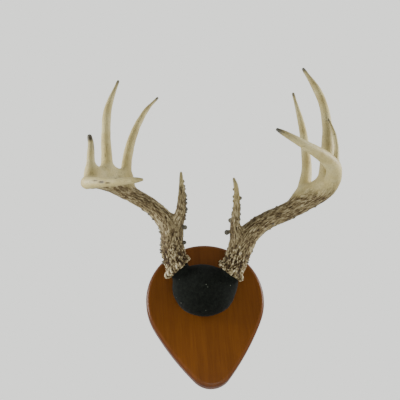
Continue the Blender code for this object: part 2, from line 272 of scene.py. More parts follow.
# Ridges and pearls of the bone, in millimetres across a branch; along it they are stretched. The layers of a
# ridge are (size, how far the warp bends it), and the second layer counts for less.
STRETCH_BY_BURR = 2.4
STRETCH_GAIN = 3.2
BRANCH_SHIFT = 17.0
WARP_SIZE = 5
WARP_SHIFTS = (3.1, 9.7, 21.3)
BROAD_LAYERS = ((2.0, 0.8), (1.0, 0.7))
NARROW_LAYERS = ((1.3, 0.6), (0.75, 1.0))
SECOND_LAYER_SHARE = 0.60
BROAD_EDGES = (-0.50, 0.55)
NARROW_EDGES = (-0.75, 0.70)
PEARL_SIZE = 2.9
PEARL_SQUASH = (1.0, 1.0, 1.4)
PEARL_WARP = 0.5
PEARL_EDGES = (0.04, 0.34)
PEARL_GULLY = 0.40
FINE_SIZE = 1.0
PATCH_SIZE = (8.0, 8.0, 5.0)
PATCH_SHIFT = 5.5
RIDGE_HEIGHT = 2.6
RIDGE_FOOT = 0.42
FINE_HEIGHT = 0.35
PATCH_HEIGHT = 0.3

# Lightness of the bone: its mean, then what its ridges add by the burr, how much less they add far out, the
# ridge that has the mean, and the fine noise's and the patches' parts
MEAN_LIGHTNESS = 0.44
RIDGE_LIGHTNESS = 0.98
RIDGE_LIGHTNESS_LOSS = 0.60
MEAN_RIDGE = 0.43
FINE_LIGHTNESS = 0.05
PATCH_LIGHTNESS = 0.10

# Where things change along a branch, in millimetres from its start or, for its tip, from its end
FAR_FROM_BURR = (20, 120)
FAR_ON_TINES = 0.75
TIP_DARK_SPANS = ((0.6, (3, 14)), (0.4, (8, 55)))
TIP_SMOOTH_SPAN = (0.0, 10)
TIP_FULL_SPAN = (3, 25)
TIP_FULL_HEIGHT = 0.7
BEAD_OUT_SPAN = (0.5, 3)
BEAD_END_SPAN = (18, 24)
BEAD_LIGHTNESS = 0.08
STAIN_RISE = 34
BRANCH_BLEND = 2.5

# Teeth, marks, knobs and soft lumps, in millimetres, but a knob's span is in its own radii. A lump is
# (size, height), and a variation multiplies a height.
TOOTH_LENGTH = 4.6
TOOTH_WIDTH = 4.0
TOOTH_SCATTER = 0.22
TOOTH_VARIATION = (0.55, 1.25)
TOOTH_DARKNESS = 0.7
MARK_DEPTH = 0.5
BUMP_FALLOFF = 1.5
KNOB_SPAN = (1.2, 2.1)
KNOB_HEIGHT = 1.2
BONE_LUMPS = ((14, 0.35), (6, 0.15))

# Materials. A ramp is a list of (position, colour or grey), and a roughness is (what the noise adds, base).
BONE_CLEAN = [(0.30, (0.45, 0.355, 0.140)), (0.50, (0.57, 0.475, 0.205)), (0.68, (0.66, 0.58, 0.29))]
BONE_STAINED = [
    (0.10, (0.034, 0.018, 0.006)),
    (0.30, (0.110, 0.072, 0.029)),
    (0.52, (0.235, 0.180, 0.085)),
    (0.72, (0.42, 0.345, 0.185)),
    (0.95, (0.66, 0.58, 0.37)),
]
BONE_RUBBED = (0.098, 0.094, 0.075)
BONE_MARK_AND_SHADE = (0.030, 0.018, 0.008)
BONE_SPECKS = [(0.30, 0.74), (0.46, 1.0)]
BONE_WEAR = [(0.30, 0.72), (0.60, 1.0)]
BONE_FIBRES = [(0.30, 0.88), (0.60, 1.04)]
BONE_ROUGHNESS = (0.25, 0.38)
GULLY_ROUGHNESS = [(0.20, 0.32), (0.70, 0.0)]
FIBRE_CONTRAST = 1.7
CLOUD_CONTRAST = 0.6
STREAK_CONTRAST = 0.45
STREAK_MIDDLE = 0.45
STAIN_EDGES = [(0.08, 0.0), (0.62, 1.0)]
RUBBED_POWER = 1.2
MARK_AND_SHADE_MOST = 0.92
WOOD_GRAIN = [(0.25, (0.140, 0.042, 0.005)), (0.55, (0.195, 0.063, 0.008)), (0.85, (0.245, 0.086, 0.011))]
WOOD_PORES = [(0.35, (0.100, 0.029, 0.0028)), (0.7, (0.225, 0.078, 0.0080))]
WOOD_PORES_SHARE = 0.25
WOOD_PATCHES = [(0.30, 0.88), (0.70, 1.10)]
# Painted shade on the board: darker towards its top, under the antlers and cover, and on its rounded edge
WOOD_PAINTED_SHADE_UPWARD = [(0.10, 1.0), (0.95, 0.62)]
WOOD_EDGE_PAINTED_SHADE = [(0.02, (1.0, 1.0, 1.0)), (0.55, (0.62, 0.50, 0.45))]
WOOD_ROUGHNESS = (0.16, 0.30)
BOARD_SHARE_BELOW = 0.6
FELT_NAP = [(0.30, (0.0030, 0.0037, 0.0028)), (0.70, (0.0105, 0.0125, 0.0095))]
FELT_MOTTLE = [(0.34, 0.70), (0.66, 1.60)]
FELT_ROUGHNESS = (0.15, 0.85)
LINT = (0.13, 0.14, 0.11)
LINT_SPECKS = [(0.09, 1.0), (0.15, 0.0)]
LINT_PATCHES = [(0.56, 0.0), (0.60, 1.0)]

# Floor, air and lamps. A lamp is its name, its place, where it aims, its size in metres and its watts.
FLOOR_DOWN = 0.62
FLOOR_REACH = 4.0
FLOOR_COLOUR = (0.84, 0.84, 0.82)
FLOOR_ROUGHNESS = 0.9
AIR_SEEN = (1.38, 1.39, 1.34)
AIR_BRIGHT = (0.74, 0.75, 0.75)
AIR_DIM = (0.08, 0.08, 0.08)
BRIGHT_SIDE = (0.0, 0.6, 0.8)
BRIGHT_SPAN = (-0.2, 0.6)
LAMPS = (
    ("left_lamp", (-0.85, -0.20, 0.30), (-0.1, -0.12, 0.15), 0.4, 9.0),
    ("right_lamp", (0.90, -0.15, 0.36), (0.1, -0.12, 0.15), 0.4, 9.0),
    ("front_lamp", (-0.3, -2.0, -0.55), (0.0, -0.05, 0.0), 1.2, 2.6),
    ("low_lamp", (0.1, -0.8, -0.52), (0.0, 0.0, -0.08), 0.5, 2.5),
)


def object_from(name, bm, look):
    """Turns a bmesh into an object of the scene."""
    bmesh.ops.recalc_face_normals(bm, faces=bm.faces[:])
    mesh = bpy.data.meshes.new(name)
    bm.to_mesh(mesh)
    bm.free()
    obj = bpy.data.objects.new(name, mesh)
    bpy.context.collection.objects.link(obj)
    if look:
        mesh.materials.append(look)
    return obj


def evaluated_mesh(obj):
    bpy.context.view_layer.update()
    graph = bpy.context.evaluated_depsgraph_get()
    return bpy.data.meshes.new_from_object(obj.evaluated_get(graph))


def apply_modifiers(obj):
    mesh = evaluated_mesh(obj)
    obj.modifiers.clear()
    obj.data = mesh


def loft(bm, rings):
    """Joins closed rings of as many points each by quads, and caps both ends."""
    loops = [[bm.verts.new(point) for point in ring] for ring in rings]
    count = len(loops[0])
    for low, high in zip(loops, loops[1:]):
        for i in range(count):
            j = (i + 1) % count
            bm.faces.new((low[i], low[j], high[j], high[i]))
    bm.faces.new(loops[0][::-1])
    bm.faces.new(loops[-1])


def axes_across(direction):
    """Two unit vectors at right angles to a direction and to each other."""
    side = direction.orthogonal().normalized()
    return side, direction.cross(side).normalized()


def arc(centre, radius, start, end, steps):
    """Points along an arc in the board's plane, as (across, up)."""
    turns = [start + (end - start) * i / steps for i in range(steps + 1)]
    return [(centre[0] + radius * math.cos(turn), centre[1] + radius * math.sin(turn)) for turn in turns]


def board_outline():
    """The board's edge: a half circle on top, on each side a flank that joins it smoothly, and the tip."""
    top_radius = BOARD_WIDTH / 2
    tip_up = BOARD_TIP_RADIUS - (BOARD_HEIGHT - top_radius)
    to_top = BOARD_FLANK_RADIUS - top_radius
    to_tip = BOARD_FLANK_RADIUS - BOARD_TIP_RADIUS
    flank_up = (to_tip**2 - to_top**2 - tip_up**2) / (-2 * tip_up)
    flank_across = -math.sqrt(to_top**2 - flank_up**2)
    start = math.atan2(-flank_up, -flank_across)
    end = math.atan2(tip_up - flank_up, -flank_across)
    top = arc((0, 0), top_radius, math.pi - start, start, TOP_STEPS)
    flank = arc((flank_across, flank_up), BOARD_FLANK_RADIUS, start, end, FLANK_STEPS)
    tip = arc((0, tip_up), BOARD_TIP_RADIUS, end, -math.pi - end, TIP_STEPS)
    mirrored = [(-across, up) for across, up in reversed(flank)]
    return top + flank[1:] + tip[1:] + mirrored[1:-1]


def slot_cutters():
    """The screw head's entry, the neck for its shank and the undercut behind the lip."""
    turns = [2 * math.pi * i / SLOT_SIDES for i in range(SLOT_SIDES)]
    radius = SLOT_HEAD_WIDTH / 2
    entry = [(radius * math.cos(turn), SLOT_ENTRY_UP + radius * math.sin(turn)) for turn in turns]
    shapes = [(entry, CUTTER_OVER, SLOT_DEPTH)]
    neck = (SLOT_NECK_WIDTH, CUTTER_OVER, NECK_INSET)
    undercut = (SLOT_HEAD_WIDTH * SLOT_UNDERCUT_SHARE, -SLOT_LIP, UNDERCUT_INSET)
    for width, shallow, inset in (neck, undercut):
        top = arc((0.0, SLOT_ENTRY_UP + SLOT_RUN), width / 2, math.pi, 0.0, SLOT_SIDES // 2)
        outline = [(-width / 2, SLOT_ENTRY_UP)] + top + [(width / 2, SLOT_ENTRY_UP)]
        shapes.append((outline, shallow, SLOT_DEPTH - inset))
    for outline, shallow, depth in shapes:
        bm = bmesh.new()
        loft(bm, [[(across, out, up) for across, up in outline] for out in (shallow, -depth)])
        yield object_from("slot_cutter", bm, None)


def make_board(look):
    bm = bmesh.new()
    outline = board_outline()
    loft(bm, [[(across, out, up) for across, up in outline] for out in (0.0, -BOARD_THICKNESS)])
    weights = bm.edges.layers.float.new("bevel_weight_edge")
    for edge in bm.edges:
        ends = {round(vert.co.y, 6) for vert in edge.verts}
        if len(ends) == 1:
            edge[weights] = 1.0 if ends == {-BOARD_THICKNESS} else BACK_ROUNDING / FRONT_ROUNDING
    board = object_from("board", bm, look)
    rounding = board.modifiers.new("rounded_edges", "BEVEL")
    rounding.limit_method = "WEIGHT"
    rounding.width = FRONT_ROUNDING
    rounding.segments = ROUNDING_STEPS
    cutters = list(slot_cutters())
    for cutter in cutters:
        cut = board.modifiers.new(cutter.name, "BOOLEAN")
        cut.operation = "DIFFERENCE"
        cut.object = cutter
        cut.solver = "EXACT"
    apply_modifiers(board)
    for cutter in cutters:
        bpy.data.objects.remove(cutter)
    board.data.shade_smooth()
    board.data.set_sharp_from_angle(angle=BOARD_CREASE)
    return board


def burr_frame(antler):
    """The middle of an antler's burr in the world, and the unit vector that its burr faces."""
    across, up = antler["burr"]
    along, out, rise = antler["burr_axis"]
    centre = Vector((across, -(BOARD_THICKNESS + BURR_OUT), up))
    return centre, Vector((along, -out, rise)).normalized()


def knots_from(rows, origin):
    """A branch's rows as places in the world, each with the radius there."""
    knots = np.array([(across, -out, up, radius) for across, out, up, radius in rows]) * MM
    knots[:, :3] += origin
    return knots


def spline(knots):
    """A smooth curve through knots, as points a few millimetres apart and the radius at each."""
    ends = np.vstack([2 * knots[0] - knots[1], knots, 2 * knots[-1] - knots[-2]])
    points = []
    for before, start, end, after in zip(ends, ends[1:], ends[2:], ends[3:]):
        steps = max(2, round(np.linalg.norm(end[:3] - start[:3]) / SPLINE_STEP))
        for t in np.arange(steps) / steps:
            turn = 2 * start + (end - before) * t + (2 * before - 5 * start + 4 * end - after) * t**2
            points.append((turn + (3 * start - before - 3 * end + after) * t**3) / 2)
    points = np.vstack([points, knots[-1]])
    return points[:, :3], points[:, 3]


def burr_beads(antler):
    """The ring of beads round the burr, uneven as grown."""
    burr, axis = burr_frame(antler)
    side, other = axes_across(axis)
    beads = []
    for i in range(BURR_BEADS):
        turn = 2 * math.pi * i / BURR_BEADS
        uneven = math.sin(BURR_TURN_STEP * i + BURR_TURN_START)
        spoke = side * math.cos(turn) + other * math.sin(turn)
        centre = burr + spoke * BURR_RING_RADIUS * (1 + BURR_RING_VARIATION * uneven)
        beads.append((np.array([centre]), np.array([BURR_BEAD_RADIUS * (1 + BURR_BEAD_VARIATION * uneven)])))
    return beads


def branches(antler):
    """(points, radii, fillet) of the beam, then each web between tines, each tine, bead and knob."""
    burr, axis = burr_frame(antler)
    origin = np.array(burr)
    points, radii = spline(knots_from(antler["beam"], origin))
    root = origin - BEAM_ROOT * np.array(axis)
    shapes = [(np.vstack([root, points]), np.append(radii[0], radii), 0.0)]
    shapes += [(*spline(knots_from(rows, origin)), WEB_FILLET) for rows in antler["webs"]]
    shapes += [(*spline(knots_from(rows, origin)), TINE_FILLET) for rows in antler["tines"]]
    shapes += [(*bead, BEAD_FILLET) for bead in burr_beads(antler)]
    shapes += [(*spline(knots_from(rows, origin)), BEAD_FILLET) for rows in antler["knobs"]]
    return shapes


def nearest_on_branch(places, points, radii):
    """For places: distance outside the branch, unit vectors away from it, and segment and share along it."""
    starts, ends = points[:-1], points[1:]
    if len(points) == 1:
        starts = ends = points
    runs = ends - starts
    lengths = np.maximum((runs**2).sum(axis=1), 1e-12)
    offsets = places[:, None, :] - starts
    shares = np.clip((offsets * runs).sum(axis=2) / lengths, 0, 1)
    offsets -= shares[:, :, None] * runs
    gaps = np.sqrt((offsets**2).sum(axis=2))
    widths = radii[: len(starts)] + shares * (radii[-len(starts):] - radii[: len(starts)])
    nearest = (gaps - widths).argmin(axis=1)
    rows = np.arange(len(places))
    gap = gaps[rows, nearest]
    away = offsets[rows, nearest] / np.maximum(gap, 1e-9)[:, None]
    return gap - widths[rows, nearest], away, nearest, shares[rows, nearest]


def distance_to_branch(places, points, radii):
    """Distance and direction for the places near a branch; the others count as far away."""
    reach = radii.max() + BRANCH_REACH
    near = ((places > points.min(axis=0) - reach) & (places < points.max(axis=0) + reach)).all(axis=1)
    distance = np.full(len(places), FAR_AWAY)
    away = np.zeros_like(places)
    for rows in np.array_split(np.flatnonzero(near), 1 + near.sum() // ROWS_AT_ONCE):
        if len(rows):
            distance[rows], away[rows], _, _ = nearest_on_branch(places[rows], points, radii)
    return distance, away


def distance_to_form(places, shapes):
    """The same for all the branches of a form, run together by fillets."""
    total, away = distance_to_branch(places, shapes[0][0], shapes[0][1])
    for points, radii, fillet in shapes[1:]:
        other, other_away = distance_to_branch(places, points, radii)
        mix = np.clip(0.5 + 0.5 * (other - total) / fillet, 0, 1)
        total = other + (total - other) * mix - fillet * mix * (1 - mix)
        away = other_away + (away - other_away) * mix[:, None]
        away /= np.maximum(np.linalg.norm(away, axis=1), 1e-9)[:, None]
    return total, away


def tube(bm, points, radii):
    """A closed tube along a branch, with a rounded end; a bead is a ball."""
    if len(points) == 1:
        ball = bmesh.ops.create_icosphere(bm, subdivisions=BEAD_SUBDIVISIONS, radius=float(radii[0]))
        bmesh.ops.translate(bm, verts=ball["verts"], vec=Vector(points[0]))
        return
    tangents = np.gradient(points, axis=0)
    side = Vector(tangents[0]).orthogonal().normalized()
    rings = []
    for point, tangent, radius in zip(points, tangents, radii):
        along = Vector(tangent).normalized()
        side = (side - along * side.dot(along)).normalized()
        other = along.cross(side)
        turns = [2 * math.pi * i / TUBE_SIDES for i in range(TUBE_SIDES)]
        rings.append([Vector(point) + (side * math.cos(t) + other * math.sin(t)) * radius for t in turns])
    last = Vector(points[-1]) + Vector(tangents[-1]).normalized() * radii[-1]
    rings.append([last + (corner - Vector(points[-1])) * TUBE_END_SHARE for corner in rings[-1]])
    loft(bm, rings)


def skin(shapes, voxel):
    """One closed fine skin round all the branches, and its places and outward directions on their surface."""
    bm = bmesh.new()
    for points, radii, _ in shapes:
        tube(bm, points, radii + SKIN)
    rough = object_from("rough", bm, None)
    remesh = rough.modifiers.new("skin", "REMESH")
    remesh.mode = "VOXEL"
    remesh.voxel_size = voxel
    mesh = evaluated_mesh(rough)
    bpy.data.objects.remove(rough, do_unlink=True)
    places = np.empty(len(mesh.vertices) * 3)
    mesh.vertices.foreach_get("co", places)
    places = places.reshape(-1, 3)
    for _ in range(DRAWING_STEPS):
        total, away = distance_to_form(places, shapes)
        places -= total[:, None] * away
    return mesh, places, away


class Noise:
    """Smooth repeatable noise from a table of seeded random numbers."""

    SIZE = 64

    def __init__(self, seed):
        self.table = np.random.default_rng(seed).uniform(-1, 1, (self.SIZE,) * 3)
        self.jitter = np.random.default_rng(seed + 1).uniform(0.1, 0.9, (self.SIZE,) * 3 + (3,))

    def value(self, places):
        """Between -1 and 1, changing over a unit of length."""
        whole = np.floor(places).astype(int)
        part = places - whole
        part = part * part * (3 - 2 * part)
        total = 0.0
        for corner in np.ndindex(2, 2, 2):
            x, y, z = ((whole + corner) % self.SIZE).T
            weight = np.where(np.array(corner), part, 1 - part).prod(axis=1)
            total = total + weight * self.table[x, y, z]
        return total

    def cells(self, places):
        """Distances to the nearest and next nearest of points scattered about one to a unit cube."""
        whole = np.floor(places).astype(int)
        first = np.full(len(places), 9.0)
        second = first.copy()
        for corner in np.ndindex(3, 3, 3):
            cell = whole + corner - 1
            x, y, z = (cell % self.SIZE).T
            gap = np.linalg.norm(cell + self.jitter[x, y, z] - places, axis=1)
            second = np.minimum(second, np.maximum(first, gap))
            first = np.minimum(first, gap)
        return first, second


def branch_coordinates(places, points, radii):
    """For each place: distance outside a branch, run along it, turn round it and radius there, and the
    directions away from it and along it."""
    tangents = np.gradient(points, axis=0)
    tangents /= np.linalg.norm(tangents, axis=1)[:, None]
    side = np.array(Vector(tangents[0]).orthogonal().normalized())
    sides = []
    for tangent in tangents:
        side = side - tangent * (side @ tangent)
        side /= np.linalg.norm(side)
        sides.append(side)
    sides = np.array(sides)
    runs = np.concatenate([[0], np.cumsum(np.linalg.norm(np.diff(points, axis=0), axis=1))])
    distance, along, turn, width = np.zeros((4, len(places)))
    outward = np.zeros_like(places)
    forward = np.zeros_like(places)
    for rows in np.array_split(np.arange(len(places)), 1 + len(places) // ROWS_AT_ONCE):
        gap, away, segment, share = nearest_on_branch(places[rows], points, radii)
        across = sides[segment]
        other = np.cross(tangents[segment], across)
        distance[rows] = gap
        outward[rows] = away
        forward[rows] = tangents[segment]
        along[rows] = runs[segment] + share * (runs[segment + 1] - runs[segment])
        turn[rows] = np.arctan2((away * other).sum(axis=1), (away * across).sum(axis=1))
        width[rows] = radii[segment] + share * (radii[segment + 1] - radii[segment])
    return distance, along, turn, width, outward, forward


def stepped(table, along):
    """The value at distances in metres along a branch, read between the rows of a table."""
    lengths, values = np.array(table).T
    return np.interp(along / MM, lengths, values)


def smooth_step(span, values, unit=1.0):
    """0 below a span of (low, high) and 1 above it, rising smoothly between; the unit is that of the span."""
    low, high = span[0] * unit, span[1] * unit
    share = np.clip((values - low) / (high - low), 0, 1)
    return share * share * (3 - 2 * share)


def drawn_out(along, stretch):
    """Runs along a branch, shortened by a stretch that changes on the way."""
    order = np.argsort(along)
    steps = np.diff(along[order], prepend=along[order[0]])
    drawn = np.empty_like(along)
    drawn[order] = np.cumsum(steps / stretch[order])
    return drawn


def layered(noise, ring, warp, layers):
    """Noise in two layers, each bent by the warp."""
    first, second = [noise.value(ring / size + bend * warp) for size, bend in layers]
    return first + SECOND_LAYER_SHARE * second


def bone_pattern(along, far, turn, width, rough, noise, seed):
    """Height in millimetres and lightness of the pearls and ridges on one branch, and the coordinates that
    they are drawn in.

    By the burr, thick pale ridges wind along the beam, broken into pearls; further out they thin to streaks.
    """
    drawn = drawn_out(along, STRETCH_BY_BURR + STRETCH_GAIN * far)
    ring = np.stack([np.cos(turn) * width, np.sin(turn) * width, drawn], axis=1) / MM
    ring += BRANCH_SHIFT * seed
    warp = np.stack([noise.value(ring / WARP_SIZE + shift) for shift in WARP_SHIFTS], axis=1)
    broad = layered(noise, ring, warp, BROAD_LAYERS)
    narrow = layered(noise, ring, warp, NARROW_LAYERS)
    first, second = noise.cells(ring * np.array(PEARL_SQUASH) / PEARL_SIZE + PEARL_WARP * warp)
    pearl = smooth_step(PEARL_EDGES, second - first)
    fine = noise.value(ring / FINE_SIZE)
    patch = noise.value(ring / np.array(PATCH_SIZE) + PATCH_SHIFT)
    near_ridge = smooth_step(BROAD_EDGES, broad) * (PEARL_GULLY + (1 - PEARL_GULLY) * pearl)
    far_ridge = smooth_step(NARROW_EDGES, narrow)
    ridge = near_ridge + (far_ridge - near_ridge) * far
    height = rough * (RIDGE_HEIGHT * (ridge - RIDGE_FOOT) + FINE_HEIGHT * fine + PATCH_HEIGHT * patch)
    contrast = RIDGE_LIGHTNESS - RIDGE_LIGHTNESS_LOSS * far
    lightness = MEAN_LIGHTNESS + contrast * (ridge - MEAN_RIDGE)
    lightness = lightness + FINE_LIGHTNESS * fine + PATCH_LIGHTNESS * patch
    return height, lightness, ring


def bumps(along, width, outward, forward, centre, side, length, across):
    """1 at a place on a branch, falling to 0 at half a length along it and half a width round it."""
    square = side - forward * (forward @ np.array(side))[:, None]
    square /= np.linalg.norm(square, axis=1)[:, None]
    round_it = width * np.arccos(np.clip((outward * square).sum(axis=1), -1, 1)) / MM
    gap = ((along / MM - centre) / (length / 2)) ** 2 + (round_it / (across / 2)) ** 2
    return np.exp(-(gap**BUMP_FALLOFF))


def teeth_height(branch, along, width, outward, forward, rows, chance):
    """Height in millimetres of the rows of small teeth on a branch."""
    total = np.zeros_like(along)
    for on, start, end, side, count, high in rows:
        for _ in range(count):
            centre = chance.uniform(start, end)
            turned = np.array(side) + chance.normal(0, TOOTH_SCATTER, 3)
            tall = high * chance.uniform(*TOOTH_VARIATION)
            if on == branch:
                tooth = bumps(along, width, outward, forward, centre, turned, TOOTH_LENGTH, TOOTH_WIDTH)
                total = np.maximum(total, tall * tooth)
    return total


def weathered(places, shapes, antler, teeth, marks_and_shade, noise):
    """Height in millimetres, lightness, stain, dark tips and marks of the bone, some marks painted shade, at
    places on its surface, and coordinates drawn out along the branch for its fibres."""
    roughness = [BEAM_ROUGHNESS, BROW_ROUGHNESS] + [TINE_ROUGHNESS] * (len(shapes) - 2)
    staining = [BEAM_STAIN, BROW_STAIN] + [TINE_STAIN] * (len(shapes) - 2)
    found = []
    rings = []
    for branch, (points, radii, _) in enumerate(shapes):
        distance, along, turn, width, outward, forward = branch_coordinates(places, points, radii)
        rough = stepped(roughness[branch], along)
        seed = antler["seed"] + branch
        far = smooth_step(FAR_FROM_BURR, along, MM) if branch == 0 else np.full(len(along), FAR_ON_TINES)
        height, light, ring = bone_pattern(along, far, turn, width, rough, noise, seed)
        left = along.max() - along
        tip = np.ones_like(along)
        for share, span in TIP_DARK_SPANS:
            tip = tip - share * smooth_step(span, left, MM)
        tip = tip * antler["tips"][branch]
        full = TIP_FULL_HEIGHT * (1 - smooth_step(TIP_FULL_SPAN, left, MM))
        height = height * smooth_step(TIP_SMOOTH_SPAN, left, MM) + full
        if branch == 0:
            bead = smooth_step(BEAD_OUT_SPAN, distance, MM) * (1 - smooth_step(BEAD_END_SPAN, along, MM))
            light = light + BEAD_LIGHTNESS * bead
        chance = np.random.default_rng(antler["seed"])
        tooth = teeth_height(branch, along, width, outward, forward, teeth, chance)
        mark_and_shade = np.zeros_like(along)
        for on, centre, side, length, across, depth in marks_and_shade:
            if on == branch:
                spot = bumps(along, width, outward, forward, centre, side, length, across)
                mark_and_shade = np.maximum(mark_and_shade, depth * spot)
        stain = stepped(staining[branch], along + STAIN_RISE * MM * outward[:, 2])
        dark = np.maximum(tip, np.minimum(TOOTH_DARKNESS * tooth, 1))
        found.append((distance, height + tooth - MARK_DEPTH * mark_and_shade, light, stain, dark, mark_and_shade))
        rings.append(ring)
    found = np.array(found)
    distances = found[:, 0]
    weights = np.exp(-(distances - distances.min(axis=0)) / (BRANCH_BLEND * MM))
    weights /= weights.sum(axis=0)
    fibre = np.array(rings)[distances.argmin(axis=0), np.arange(len(places))]
    return [(weights * found[:, column]).sum(axis=0) for column in range(1, found.shape[1])] + [fibre]


def on_knobs(places, knobs):
    """1 on the knobs that stand out of the bone, 0 away from them."""
    share = np.zeros(len(places))
    for points, radii, _ in knobs:
        gap = np.linalg.norm(places - points[-1], axis=1) / radii[-1]
        share = np.maximum(share, 1 - smooth_step(KNOB_SPAN, gap))
    return share


def lumps(noise, places, layers):
    """Height in millimetres of soft lumps, from layers of (size, height)."""
    return sum(height * noise.value(places / (size * MM)) for size, height in layers)


def set_attribute(mesh, name, values):
    """Stores a number, or a row of three, for each point of a mesh."""
    kind, field = ("FLOAT", "value") if values.ndim == 1 else ("FLOAT_VECTOR", "vector")
    attribute = mesh.attributes.new(name, kind, "POINT")
    attribute.data.foreach_set(field, values.astype(np.float32).ravel())


def cut_flat(bm, place, normal):
    """Cuts away what lies behind a plane, and closes the cut with a flat face."""
    geometry = bm.verts[:] + bm.edges[:] + bm.faces[:]
    cut = bmesh.ops.bisect_plane(bm, geom=geometry, plane_co=place, plane_no=normal, clear_inner=True)
    rim = [item for item in cut["geom_cut"] if isinstance(item, bmesh.types.BMEdge)]
    bmesh.ops.contextual_create(bm, geom=rim)


def make_antler(name, antler, look, teeth, marks_and_shade, noise):
    """The filleted skin, weathered, and cut flat behind the burr where it sits on the cover."""
    burr, axis = burr_frame(antler)
    shapes = branches(antler)
    mesh, places, normals = skin(shapes, VOXEL)
    webs, tines = len(antler["webs"]), len(antler["tines"])
    main = shapes[:1] + shapes[1 + webs: 1 + webs + tines]
    height, light, stain, tip, mark_and_shade, fibre = weathered(places, main, antler, teeth, marks_and_shade, noise)
    knob = on_knobs(places, shapes[-len(antler["knobs"]):])
    tip = np.maximum(tip, knob)
    height = height * (1 - knob) + KNOB_HEIGHT * knob
    places = places + normals * ((height + lumps(noise, places, BONE_LUMPS)) * MM)[:, None]
    mesh.vertices.foreach_set("co", places.ravel())
    labels = {"lightness": light, "stain": stain, "tip": tip, "mark_and_shade": mark_and_shade, "fibre": fibre}
    for label, values in labels.items():
        set_attribute(mesh, label, values)
    bm = bmesh.new()
    bm.from_mesh(mesh)
    bpy.data.meshes.remove(mesh)
    cut_flat(bm, burr - axis * BURR_BASE, axis)
    obj = object_from(name, bm, look)
    obj.data.shade_smooth()
    return obj


def cover_shapes():
    """(points, radii, fillet) of the bridge from seat to seat over the crown, and of the rim below it."""
    crown = (COVER_CENTRE_ACROSS, -(BOARD_THICKNESS + CROWN_DEPTH - CROWN_RADIUS), CROWN_UP, CROWN_RADIUS)
    seats = []
    for antler in (LEFT, RIGHT):
        burr, axis = burr_frame(antler)
        seats.append([(*(burr - axis * (BURR_BASE + back)), SEAT_RADIUS) for back in (-BURR_BASE, SEAT_RUN)])
    (left_top, left_root), (right_top, right_root) = seats
    rim = []
    for i in range(RIM_STEPS + 1):
        turn = math.pi * (1 + i / RIM_STEPS)
        across = COVER_CENTRE_ACROSS + (COVER_WIDTH / 2 - RIM_RADIUS) * math.cos(turn)
        up = COVER_CENTRE_UP + (COVER_LENGTH / 2 - RIM_RADIUS) * math.sin(turn)
        rim.append((across, -(BOARD_THICKNESS + RIM_OUT), up, RIM_RADIUS))
    bridge = [left_top, left_root, crown, right_root, right_top]
    return [(*spline(np.array(bridge)), 0.0), (*spline(np.array(rim)), COVER_FILLET)]


def make_cover(look, noise):
    """The felt cap over the skull plate, slightly uneven, cut flat on the board and where each burr sits."""
    mesh, places, normals = skin(cover_shapes(), COVER_VOXEL)
    uneven = lumps(noise, places, COVER_LUMPS)
    places = places + normals * ((uneven - COVER_SUNK) * MM)[:, None]
    mesh.vertices.foreach_set("co", places.ravel())
    bm = bmesh.new()
    bm.from_mesh(mesh)
    bpy.data.meshes.remove(mesh)
    cut_flat(bm, Vector((0.0, -(BOARD_THICKNESS + GAP), 0.0)), Vector((0.0, -1.0, 0.0)))
    for antler in (LEFT, RIGHT):
        burr, axis = burr_frame(antler)
        cut_flat(bm, burr - axis * (BURR_BASE + GAP), -axis)
    cover = object_from("felt_cover", bm, look)
    cover.data.shade_smooth()
    cover.data.set_sharp_from_angle(angle=COVER_CREASE)
    return cover


class Look:
    """A material with a Principled shader, built node by node."""

    def __init__(self, name):
        self.material = bpy.data.materials.new(name)
        self.material.use_nodes = True
        self.tree = self.material.node_tree
        self.shader = self.tree.nodes["Principled BSDF"]
        self.place = self.add("ShaderNodeTexCoord").outputs["Object"]

    def add(self, kind, **settings):
        node = self.tree.nodes.new(kind)
        for key, value in settings.items():
            setattr(node, key, value)
        return node

    def link(self, source, target):
        self.tree.links.new(source, target)

    def value(self, name):
        return self.add("ShaderNodeAttribute", attribute_name=name).outputs["Fac"]

    def stretched(self, scale):
        mapping = self.add("ShaderNodeMapping")
        mapping.inputs["Scale"].default_value = scale
        self.link(self.place, mapping.inputs["Vector"])
        return mapping.outputs["Vector"]

    def noise(self, scale, detail=4.0, roughness=0.55, vector=None, distortion=0.0):
        node = self.add("ShaderNodeTexNoise")
        node.inputs["Scale"].default_value = scale
        node.inputs["Detail"].default_value = detail
        node.inputs["Roughness"].default_value = roughness
        node.inputs["Distortion"].default_value = distortion
        self.link(vector or self.place, node.inputs["Vector"])
        return node.outputs["Fac"]

    def ramp(self, source, stops):
        """Maps a value to a colour or grey through stops of (position, colour)."""
        node = self.add("ShaderNodeValToRGB")
        elements = node.color_ramp.elements
        while len(elements) < len(stops):
            elements.new(0.5)
        for element, (position, colour) in zip(elements, stops):
            element.position = position
            element.color = (*colour, 1.0) if isinstance(colour, tuple) else (colour, colour, colour, 1.0)
        self.link(source, node.inputs["Fac"])
        return node.outputs["Color"]

    def mix(self, share, first, second, kind="MIX"):
        """Blends two colours, each a socket or a plain colour."""
        node = self.add("ShaderNodeMix", data_type="RGBA", blend_type=kind)
        for source, socket in ((share, node.inputs[0]), (first, node.inputs[6]), (second, node.inputs[7])):
            if isinstance(source, bpy.types.NodeSocket):
                self.link(source, socket)
            elif isinstance(source, tuple):
                socket.default_value = (*source, 1.0)
            else:
                socket.default_value = source
        return node.outputs[2]

    def math(self, operation, first, second=0.5, third=0.0):
        node = self.add("ShaderNodeMath", operation=operation)
        for source, socket in zip((first, second, third), node.inputs):
            if isinstance(source, bpy.types.NodeSocket):
                self.link(source, socket)
            else:
                socket.default_value = source
        return node.outputs[0]

    def bump(self, height, distance, strength=1.0):
        node = self.add("ShaderNodeBump")
        node.inputs["Strength"].default_value = strength
        node.inputs["Distance"].default_value = distance
        self.link(height, node.inputs["Height"])
        self.link(node.outputs["Normal"], self.shader.inputs["Normal"])


